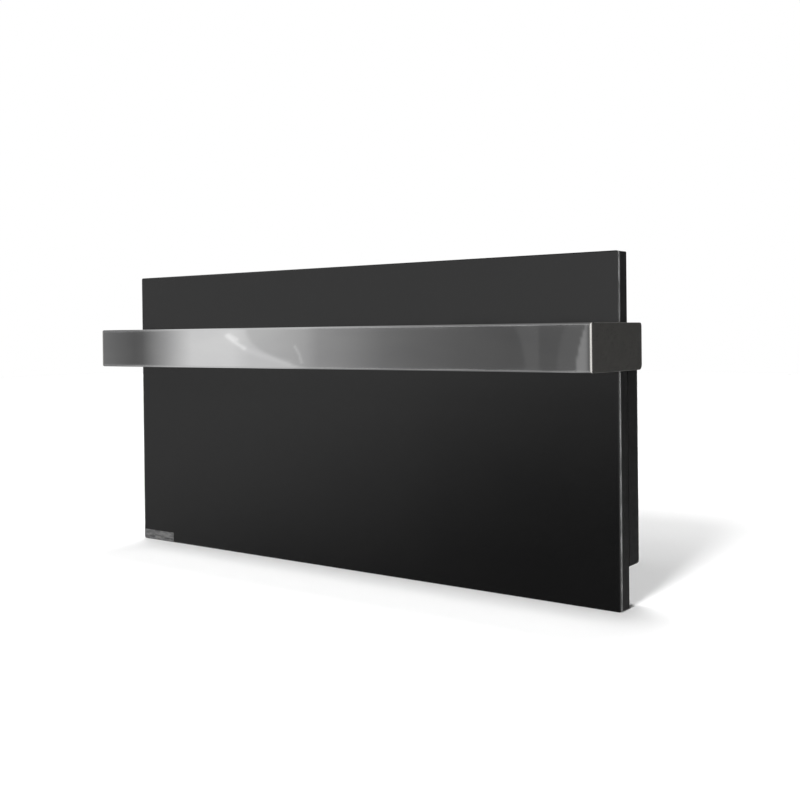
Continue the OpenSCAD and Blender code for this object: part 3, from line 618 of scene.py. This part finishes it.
def cut_vents(bm, back, front, ends):
    """The upright slots of the housing's back and the long slots of its lower and upper sides."""
    low, high = ends
    for z, count in ((high - UPPER_VENTS_DROP, 41), (low + LOWER_VENTS_RISE, 35)):
        for x in centred(count, VENT_PITCH):
            prism(bm, "Y", back, slot_points((x, z), VENT_SLOT))
    for z in ends:
        for x in centred(13, LOUVRE_PITCH):
            for depth in LOUVRE_DEPTHS:
                points = [(x + v, front + depth + u) for u, v in slot_points((0, 0), LOUVRE_SLOT)]
                prism(bm, "Z", (z - 3 * MM, z + 3 * MM), points)


def cut_back(bm, back):
    """The hooks' windows, the terminals' window and the cover's screw holes."""
    for x in BRACKET_XS:
        for z in HOOK_ZS:
            window(bm, "Y", back, (x, z - HOOK_WINDOW_DROP), HOOK_WINDOW)
    window(bm, "Y", back, TERMINAL, TERMINAL_WINDOW)
    pilot = 1.55 * MM
    for spot in COVER_SCREWS:
        bore(bm, "Y", back, spot, pilot, 20)


def cut_sides(bm):
    """The arms' stud holes in both sides, and the holes of the knob and the switch in the left one."""
    left, right = (-503 * MM, -497 * MM), (497 * MM, 503 * MM)
    stud, spindle, screw = 4.05 * MM, 3.5 * MM, 2.05 * MM
    screw_offset = 14 * MM
    for wall in (left, right):
        for z in STUD_ZS:
            bore(bm, "X", wall, (STUD_Y, z), stud)
    bore(bm, "X", left, (CONTROL_Y, KNOB_Z), spindle)
    for z in (KNOB_Z - screw_offset, KNOB_Z + screw_offset):
        bore(bm, "X", left, (CONTROL_Y, z), screw, 20)
    window(bm, "X", left, (CONTROL_Y, ROCKER_Z), ROCKER_WINDOW)


def housing_openings(lo, hi):
    """Every slot and hole that is punched through the housing, as one cutter."""
    back = (hi.y - 4 * MM, hi.y + MM)
    ends = (lo.z + HOUSING_FLANGE, hi.z - HOUSING_FLANGE)
    screw, gland = 2.25 * MM, 8.15 * MM
    bm = bmesh.new()
    cut_vents(bm, back, lo.y, ends)
    cut_back(bm, back)
    for x in SCREW_XS:
        for z in SCREW_ZS:
            bore(bm, "Y", (lo.y - MM, lo.y + 3 * MM), (x, z), screw, 20)
    cut_sides(bm)
    bore(bm, "Z", (ends[0] - MM, ends[0] + 3 * MM), (TERMINAL[0], CONTROL_Y), gland, 32)
    return bm


def housing_flanges(lo, hi):
    """The two flat screw flanges, above and below the pan, which they overlap a little."""
    half = 480 * MM
    corner, overlap = 3 * MM, 0.6 * MM
    low = lo.z + HOUSING_FLANGE + overlap
    high = hi.z - HOUSING_FLANGE - overlap
    face = lo.y + SHEET
    bm = bmesh.new()
    block(bm, "Y", (-half, lo.y, high), (half, face, hi.z), (TINY, TINY, corner, corner))
    block(bm, "Y", (-half, lo.y, lo.z), (half, face, low), (corner, corner, TINY, TINY))
    return bm


def housing():
    """The folded rear housing with its vents, hook slots and screw flanges."""
    lo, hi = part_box("rear_housing")
    piece = shown("housing_shell", housing_shell_mesh(lo, hi))
    combine(piece, housing_flanges(lo, hi), "UNION")
    combine(piece, housing_openings(lo, hi), "DIFFERENCE")
    finish_piece(piece, "heater", [MATERIALS["powder_black"]], ["rear_housing"])


def cover():
    """The cover over the terminals: a plate with softened edges and clearance holes."""
    lo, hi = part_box("terminal_cover")
    clearance = 1.75 * MM
    bm = bmesh.new()
    block(bm, "Y", lo, hi, (4 * MM,) * 4, end=0.5 * MM)
    piece = shown("cover_plate", bm)
    holes = bmesh.new()
    for spot in COVER_SCREWS:
        bore(holes, "Y", (lo.y - MM, hi.y + MM), spot, clearance)
    combine(piece, holes, "DIFFERENCE")
    finish_piece(piece, "heater", [MATERIALS["powder_black"]], ["terminal_cover"])


# ---------------------------------------------------------------- controls


def flute(turn):
    """Depth of the knob's grip flutes at a share of a turn."""
    count, half_width, depth = 18, 0.24, 0.5 * MM
    phase = (turn * count) % 1 - 0.5
    return depth * max(0.0, 1 - (phase / half_width) ** 2)


def knob():
    """The fluted thermostat knob, with its skirt against the housing and its bore for the spindle."""
    lo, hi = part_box("thermostat_knob")
    seat = hi.x
    face = lo.x + POINTER_RISE
    hole, hole_depth = 3.05 * MM, 11 * MM
    skirt, skirt_depth, chamfer = 11 * MM, 3 * MM, 0.3 * MM
    barrel, dome = 9.4 * MM, 1.2 * MM
    profile = [(seat - hole_depth, hole), (seat, hole)]
    profile += [(seat, skirt - chamfer), (seat - chamfer, skirt)]
    profile += [(seat - skirt_depth + chamfer, skirt), (seat - skirt_depth, skirt - chamfer)]
    profile.append((seat - skirt_depth, barrel, flute))
    profile += [(face + d, barrel - i, flute) for d, i in reversed(arc_stages(dome, 5))]
    profile += [(face, 6 * MM), (face + 0.25 * MM, 5.6 * MM)]
    bm = bmesh.new()
    turned(bm, "X", (CONTROL_Y, KNOB_Z), profile, 216)
    piece = shown("knob_cap", bm)
    finish_piece(piece, "knob", [MATERIALS["knob_plastic"]], ["thermostat_knob"])


def knob_pointer():
    """The white rib on the knob's face, rooted a little below it."""
    lo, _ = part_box("thermostat_knob")
    root = lo.x + POINTER_RISE + 0.5 * MM
    bm = bmesh.new()
    prism(bm, "X", (lo.x, root), slot_points((CONTROL_Y, KNOB_Z + 5.3 * MM), (1.6 * MM, 7.4 * MM)))
    piece = shown("knob_pointer", bm)
    add_bevel(piece, 0.2 * MM)
    finish_piece(piece, "knob", [MATERIALS["white_paint"]])


def rocker_points():
    """The rocker from the side: a hollowed face between two blunt ends, round at the back."""
    reach, shoulder = 7.4 * MM, 1.2 * MM
    waist, neck, hub = 3 * MM, -1 * MM, 3 * MM
    points = [(shoulder, -reach)]
    for v in evenly(-1, 1, 16):
        points.append(((3.5 + 0.7 * v * v) * MM, v * reach))
    points += [(shoulder, reach), (neck, waist)]
    for degrees in evenly(112, 248, 12):
        a = math.radians(degrees)
        points.append((hub * math.cos(a), hub * math.sin(a)))
    points.append((neck, -waist))
    return points


def rocker():
    """The rocker key with its two pivot pins, tipped to its rest position."""
    pivot = Vector((-498.4 * MM, CONTROL_Y, ROCKER_Z))
    half_width, half_pins = 5 * MM, 6 * MM
    tilt = math.radians(-8)
    c, s = math.cos(tilt), math.sin(tilt)
    points = [(pivot.x - u * c + v * s, pivot.z + u * s + v * c) for u, v in rocker_points()]
    bm = bmesh.new()
    prism(bm, "Y", (pivot.y - half_width, pivot.y + half_width), points)
    piece = shown("rocker_key", bm)
    pins = bmesh.new()
    bore(pins, "Y", (pivot.y - half_pins, pivot.y + half_pins), (pivot.x, pivot.z), 1.2 * MM)
    combine(piece, pins, "UNION")
    add_bevel(piece, 0.35 * MM, 3)
    finish_piece(piece, "rocker", [MATERIALS["rocker_gloss"]], ["rocker"])


# ---------------------------------------------------------------- towel bar


def towel_bar():
    """The flat box-section tube, open at its ends against the arms."""
    lo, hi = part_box("towel_bar")
    wall = 1.5 * MM
    _, lo2 = split("X", lo)
    _, hi2 = split("X", hi)
    outer, inner = (0, 2.5 * MM), (wall, 1 * MM)
    rings = []
    for x, (inset, radius) in ((lo.x, outer), (hi.x, outer), (hi.x, inner), (lo.x, inner)):
        low = (lo2[0] + inset, lo2[1] + inset)
        high = (hi2[0] - inset, hi2[1] - inset)
        rings.append(ring("X", x, low, high, (radius,) * 4, 8))
    bm = bmesh.new()
    loft(bm, rings, closed=True)
    piece = shown("bar_tube", bm)
    finish_piece(piece, "heater", [MATERIALS["polished_steel"]], ["towel_bar"])


def arm(side):
    """A side arm: a plate whose front outer edge is rolled and whose rear corners are round."""
    hand = "right" if side > 0 else "left"
    node = "bar_arm_" + hand
    lo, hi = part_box(node)
    corners = (2.5 * MM, 8 * MM, 5 * MM, 2.5 * MM)
    rim = (2.65, 0.6, 0.6, 0.6) if side > 0 else (1.2, 2.6, 0.6, 2.6)
    outer = tuple(r * MM for r in rim)
    inner = 0.3 * MM
    bm = bmesh.new()
    start, end = (inner, outer) if side > 0 else (outer, inner)
    block(bm, "X", lo, hi, corners, start=start, end=end, steps=8, edge_steps=6)
    piece = shown("arm_plate_" + hand, bm)
    finish_piece(piece, "heater", [MATERIALS["arm_steel"]], [node])


# ---------------------------------------------------------------- wall mounting


def hook_points(z):
    """A hook from the side: a floor that leaves the plate and a lip that turns up at its end."""
    root, reach = -1 * MM, -12 * MM
    inner = 0.8 * MM
    outer = inner + BRACKET_SHEET
    points = [(root, z - BRACKET_SHEET), (root, z)]
    for degrees in evenly(270, 180, 6):
        a = math.radians(degrees)
        points.append((reach + outer + inner * math.cos(a), z + inner + inner * math.sin(a)))
    points += [(reach + BRACKET_SHEET, z + HOOK_LIP), (reach, z + HOOK_LIP)]
    for degrees in evenly(180, 270, 6):
        a = math.radians(degrees)
        points.append((reach + outer + outer * math.cos(a), z + inner + outer * math.sin(a)))
    return points


def hook(x, z):
    """One folded hook whose lip has round upper corners."""
    bm = bmesh.new()
    prism(bm, "X", (x - HOOK_HALF, x + HOOK_HALF), hook_points(z))
    tab = shown("tab", bm)
    trim = bmesh.new()
    low = (x - HOOK_HALF, -13 * MM, z - 3 * MM)
    high = (x + HOOK_HALF, 0, z + HOOK_LIP)
    block(trim, "Y", low, high, (TINY, TINY, 3 * MM, 3 * MM))
    combine(tab, trim, "INTERSECT")
    return taken(tab)


def bracket(side):
    """A wall bracket: a plate with two fixing holes and two folded hooks."""
    hand = "right" if side > 0 else "left"
    node = "wall_bracket_" + hand
    lo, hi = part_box(node)
    x = (lo.x + hi.x) / 2
    bm = bmesh.new()
    block(bm, "Y", (lo.x, -BRACKET_SHEET, lo.z), hi, (4 * MM,) * 4, start=0.3 * MM, end=0.3 * MM)
    piece = shown("bracket_" + hand, bm)
    for z in HOOK_ZS:
        combine(piece, hook(x, z), "UNION")
    holes = bmesh.new()
    for z in FIXING_ZS:
        bore(holes, "Y", (-3 * MM, MM), (x, z), 2.75 * MM, 32)
    combine(piece, holes, "DIFFERENCE")
    add_bevel(piece, 0.2 * MM, 2)
    finish_piece(piece, "wall_mount", [MATERIALS["bracket_steel"]], [node])


def buffers():
    """Rubber feet that keep the bottom of the housing off the wall."""
    lo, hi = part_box("wall_buffers")
    z = (lo.z + hi.z) / 2
    radius, rounding = 10 * MM, 1.5 * MM
    profile = [(lo.y, radius)]
    profile += [(hi.y - d, radius - i) for d, i in reversed(arc_stages(rounding, 5))]
    profile += [(hi.y, 4.5 * MM), (hi.y - 0.6 * MM, 4 * MM)]
    bm = bmesh.new()
    for x in (lo.x + radius, hi.x - radius):
        turned(bm, "Y", (x, z), profile, 64)
    piece = shown("rubber_feet", bm)
    finish_piece(piece, "heater", [MATERIALS["rubber"]], ["wall_buffers"])


# ---------------------------------------------------------------- CAD nodes that stay


def dress_cad_nodes():
    """Gives each CAD node that still shows the finish of its slot in the record."""
    for entry in frame["record"]["subparts"]:
        node = NODES[entry["node"]]
        finish = MATERIALS[entry["material_slot"]]
        if not node.material_slots:
            node.data.materials.append(finish)
        for socket in node.material_slots:
            socket.material = finish


# ---------------------------------------------------------------- camera

CAMERA = Vector((1.1703, -1.4463, 0.1386))


def add_camera():
    """A camera at the right front, level with the bar, looking along the panel."""
    heading, nod, roll = 37.17, -0.48, -0.63
    data = bpy.data.cameras.new("camera")
    data.lens = 49.28
    data.shift_y = -0.0717
    camera = bpy.data.objects.new("camera", data)
    bpy.context.scene.collection.objects.link(camera)
    pose = Matrix.Translation(CAMERA)
    for degrees, axis in ((heading, "Z"), (90 + nod, "X"), (roll, "Z")):
        pose = pose @ Matrix.Rotation(math.radians(degrees), 4, axis)
    camera.matrix_world = pose
    bpy.context.scene.camera = camera


# ---------------------------------------------------------------- studio


def add_floor():
    """A plain pale floor under the panel's lower edge."""
    lo, _ = CAD_BOX
    reach, gap = 8, 0.2 * MM
    corners = ((-reach, -reach), (reach, -reach), (reach, reach), (-reach, reach))
    bm = bmesh.new()
    bm.faces.new([bm.verts.new((x, y, lo.z - gap)) for x, y in corners])
    floor = shown("floor", bm)
    mat = surface("floor_paint", (0.95, 0.95, 0.95), roughness=0.9, Specular_IOR_Level=0.0)
    tint(mat, (0.945, 0.945, 0.945), (0.955, 0.955, 0.955), 3)
    floor.data.materials.append(mat)
    floor.visible_glossy = False


def set_world(strength):
    """White surroundings, seen by the camera and in reflections."""
    world = bpy.data.worlds.new("studio")
    world.use_nodes = True
    background = world.node_tree.nodes["Background"]
    background.inputs["Color"].default_value = (1, 1, 1, 1)
    background.inputs["Strength"].default_value = strength
    world.cycles_visibility.diffuse = False
    bpy.context.scene.world = world
    bpy.context.scene.view_settings.view_transform = "Standard"


def add_sun(name, direction, angle, level):
    """A soft lamp so far off that it lights the floor evenly: a white surface facing it shows that level."""
    data = bpy.data.lights.new(name, "SUN")
    data.angle = math.radians(angle)
    data.energy = level * math.pi
    lamp = bpy.data.objects.new(name, data)
    bpy.context.scene.collection.objects.link(lamp)
    lamp.rotation_mode = "QUATERNION"
    lamp.rotation_quaternion = Vector(direction).to_track_quat("Z", "Y")
    lamp.visible_camera = False
    lamp.visible_glossy = False


def add_lamps():
    """Front light from three heights, so that its shadow pales with distance, and light from above."""
    aside, ahead = 0.12, -0.993
    for height, level in ((32, 0.64), (45, 0.16), (58, 0.12)):
        rise = math.radians(height)
        direction = (aside * math.cos(rise), ahead * math.cos(rise), math.sin(rise))
        add_sun("key_light_%d" % height, direction, 11, level)
    add_sun("top_light", (-0.13, 0.12, 0.985), 14, 0.5)
    add_sun("fill_light", (0.0, 0.0, 1.0), 150, 0.15)


# ---------------------------------------------------------------- cards, which show only in reflections


def card_material():
    """Light of the strength that each point of the card carries."""
    mat = bpy.data.materials.new("card_light")
    mat.use_nodes = True
    tree = mat.node_tree
    tree.nodes.clear()
    level = tree.nodes.new("ShaderNodeAttribute")
    level.attribute_name = "level"
    glow = tree.nodes.new("ShaderNodeEmission")
    out = tree.nodes.new("ShaderNodeOutputMaterial")
    tree.links.new(level.outputs["Fac"], glow.inputs["Strength"])
    tree.links.new(glow.outputs["Emission"], out.inputs["Surface"])
    return mat


def add_card(name, grid):
    """A card that shows only in reflections, from rows of (point, level)."""
    bm = bmesh.new()
    rows = [[bm.verts.new(p) for p, _ in row] for row in grid]
    for low, high in zip(rows, rows[1:]):
        for i in range(len(low) - 1):
            bm.faces.new((low[i], low[i + 1], high[i + 1], high[i]))
    mesh = bpy.data.meshes.new(name)
    bm.verts.index_update()
    bm.to_mesh(mesh)
    bm.free()
    levels = mesh.attributes.new("level", "FLOAT", "POINT")
    levels.data.foreach_set("value", [v for row in grid for _, v in row])
    mesh.materials.append(CARD_LIGHT)
    card = bpy.data.objects.new(name, mesh)
    bpy.context.scene.collection.objects.link(card)
    card.visible_camera = False
    card.visible_diffuse = False
    card.visible_shadow = False
    card.visible_transmission = False
    card.visible_volume_scatter = False


def seen_in(plane_y, x, z, card_y):
    """The point of a card in front of the object that the camera sees mirrored at x, z of an upright face."""
    reach = (plane_y - card_y) / (plane_y - CAMERA.y)
    return Vector((x + reach * (x - CAMERA.x), card_y, z + reach * (z - CAMERA.z)))


def towards_white(level, past):
    """A level that turns white over the first length past a card's useful part."""
    return level + (1 - level) * smooth(past)


# Brightness that the glass mirrors just under the bar and at its foot, at shares of its width.
UNDER_BAR = ((0, 0.57), (0.36, 0.68), (0.62, 0.72), (0.84, 0.62), (1, 0.56))
AT_FOOT = ((0, 0.42), (0.36, 0.29), (0.62, 0.2), (0.84, 0.16), (1, 0.16))


def panel_light(x, z):
    """Brightness of the room that the glass mirrors: even above the bar, fading to the low right below it."""
    u = clamp(x + 0.5)
    above = 0.68 + 0.3 * u
    start = between(UNDER_BAR, u)
    end = between(AT_FOOT, u)
    q = clamp((0.08 - z) / 0.33)
    turning = 0.6
    if u < turning:
        fade = q ** (1 + 2.4 * (turning - u))
    else:
        fade = 1 - (1 - q) ** (1 + 3.6 * (u - turning))
    below = start + (end - start) * fade
    return below + (above - below) * smooth((z - 0.09) / 0.055)


def add_room_card():
    """The card that the glass mirrors, white well past the panel's two ends."""
    glass_lo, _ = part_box("front_glass")
    half_width, half_height, useful = 1.62, 0.32, 0.62
    card_y = -2.9
    grid = []
    for z in evenly(-half_height, half_height, 48):
        line = []
        for x in evenly(-half_width, half_width, 168):
            level = towards_white(panel_light(x, z), abs(x) - useful)
            line.append((seen_in(glass_lo.y, x, z, card_y), level))
        grid.append(line)
    add_card("room_card", grid)


# Brightness that the bar mirrors at a share of its length: a pale left part, then a darker right part.
PALE_LIGHT = ((-0.03, 0.16), (0, 0.15), (0.04, 0.12), (0.09, 0.09), (0.11, 0.1), (0.13, 0.16), (0.17, 0.29),
              (0.22, 0.5), (0.24, 0.58), (0.34, 0.6), (0.38, 0.53), (0.5, 0.46))
DIM_LIGHT = ((0.36, 0.46), (0.43, 0.41), (0.5, 0.335), (0.53, 0.26), (0.6, 0.205), (0.66, 0.145),
             (0.72, 0.118), (0.8, 0.093), (0.88, 0.08), (1, 0.085))
# How much more its rounded top and bottom edges mirror.
OVER_EXTRA = ((0, -0.03), (0.15, 0), (0.45, 0.06), (0.55, 0.22), (0.62, 0.2), (0.75, 0.12), (0.93, 0.06),
              (1, 0.03))
UNDER_EXTRA = ((0, -0.02), (0.5, 0), (0.8, 0.05), (0.97, 0.1), (1, 0.02))
# Soft streaks of light: strength, width and route, on a face drawn this long and this high.
STREAK_FACE = (0.75, 0.067)
STREAKS = (
    (0.14, 0.005, ((0.249, 0.058), (0.253, 0.055), (0.263, 0.049))),
    (0.18, 0.005, ((0.244, 0.056), (0.261, 0.043), (0.276, 0.033))),
    (0.05, 0.009, ((0.276, 0.033), (0.306, 0.02), (0.35, 0.008))),
    (0.12, 0.003, ((0.36, 0.037), (0.367, 0.024), (0.371, 0.008))),
)
STEEL = 0.7
# Shares of the bar's length between which its cards reach, and those where they start to turn white.
STRIPED = (-1.1, 2.2)
FADING = (-0.1, 1.2)
BAR_LO, BAR_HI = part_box("towel_bar")


def streak(p, points, width):
    """How strongly a soft streak along these points covers p."""
    nearest = 1.0
    for a, b in zip(points, points[1:]):
        run = Vector(b) - Vector(a)
        t = clamp((p - Vector(a)).dot(run) / run.length_squared)
        nearest = min(nearest, (p - Vector(a) - run * t).length)
    return 1 - smooth(nearest / width)


def band(t, start, rise, end, fall):
    """1 between two places, fading in past the first and out before the second."""
    return smooth((t - start) / rise) * smooth((end - t) / fall)


def bar_light(t, v):
    """Brightness that the bar mirrors at a share of its length and of its height."""
    pale = between(PALE_LIGHT, t)
    # The pale part ends on a curve that falls to the right.
    edge = 0.37 + 0.125 * (1 - v) ** 2.2
    level = pale + (between(DIM_LIGHT, t) - pale) * smooth((t - edge + 0.006) / 0.016)
    p = Vector((t * STREAK_FACE[0], v * STREAK_FACE[1]))
    for strength, width, points in STREAKS:
        level += strength * streak(p, points, width)
    # Near the right end come a faint band, a faint step and a brighter wedge.
    level += 0.02 * band(t, 0.9 - 0.016 * v**2, 0.006, 0.927, 0.004)
    level += 0.016 * smooth((t - 0.949 - 0.014 * v**2) / 0.006)
    level += 0.11 * band(t, 0.979 + 0.015 * v**1.6, 0.002, 0.997, 0.002)
    return level


def bar_level(t, v, more=0.0):
    """Level of a card that makes the bar that bright, turning white well past its two ends."""
    return towards_white((bar_light(t, v) + more) / STEEL, max(t - FADING[1], FADING[0] - t))


def along_bar(t):
    """Where a share of the bar's length lies."""
    return BAR_LO.x + (BAR_HI.x - BAR_LO.x) * t


def add_bar_card():
    """The card that the bar's flat face mirrors."""
    card_y = -2.755
    low, high = BAR_LO.z + MM, BAR_HI.z - MM
    places = [(t, along_bar(t)) for t in evenly(*STRIPED, 1000)]
    grid = []
    for v in evenly(0, 1, 24):
        z = low + (high - low) * v
        grid.append([(seen_in(BAR_LO.y, x, z, card_y), bar_level(t, v)) for t, x in places])
    add_card("bar_card", grid)


def add_arch(name, side, bearings, extra):
    """A card that curves over or under the bar from front to back and carries its stripes on."""
    radius = 2.745
    middle = (BAR_LO.z + BAR_HI.z) / 2
    front = BAR_LO.y
    places = [(t, seen_in(front, along_bar(t), 0, front - radius).x) for t in evenly(*STRIPED, 150)]
    grid = []
    for degrees in bearings:
        a = math.radians(degrees)
        y = front - radius * math.cos(a)
        z = middle + side * radius * math.sin(a)
        share = smooth((degrees - bearings[0]) / 30)
        line = []
        for t, x in places:
            line.append((Vector((x, y, z)), bar_level(t, 0.5 + 0.5 * side, between(extra, t) * share)))
        grid.append(line)
    add_card(name, grid)


def add_screen(name, stops):
    """An upright curved screen round the object's right end, from (bearing, level) stops.
    It is dimmer high and low."""
    radius = 2.4
    right_end = 0.5
    grid = []
    for z, share in ((-2.5, 0.35), (-1.6, 0.6), (-0.95, 1), (0.5, 1), (1.2, 0.6), (2.5, 0.35)):
        line = []
        for bearing in evenly(stops[0][0], stops[-1][0], 28):
            a = math.radians(bearing)
            p = Vector((right_end + radius * math.sin(a), -radius * math.cos(a), z))
            line.append((p, between(stops, bearing) * share))
        grid.append(line)
    add_card(name, grid)


# ---------------------------------------------------------------- the scene

glass_panel()
badge()
tray()
housing()
cover()
knob()
knob_pointer()
rocker()
towel_bar()
arm(-1)
arm(1)
bracket(-1)
bracket(1)
buffers()
dress_cad_nodes()

CARD_LIGHT = card_material()
add_camera()
add_floor()
set_world(1.0)
add_lamps()
add_room_card()
add_bar_card()
add_arch("over_card", 1, (8.5, 20, 30, 50, 90, 130, 172), OVER_EXTRA)
add_arch("under_card", -1, (31, 40, 50, 62, 90, 130, 172), UNDER_EXTRA)
add_screen("bright_screen", ((20, 0.9), (30, 2.1), (42, 2.1), (52, 1.15), (75, 1.15)))
add_screen("dark_screen", ((112, 0.05), (188, 0.05)))
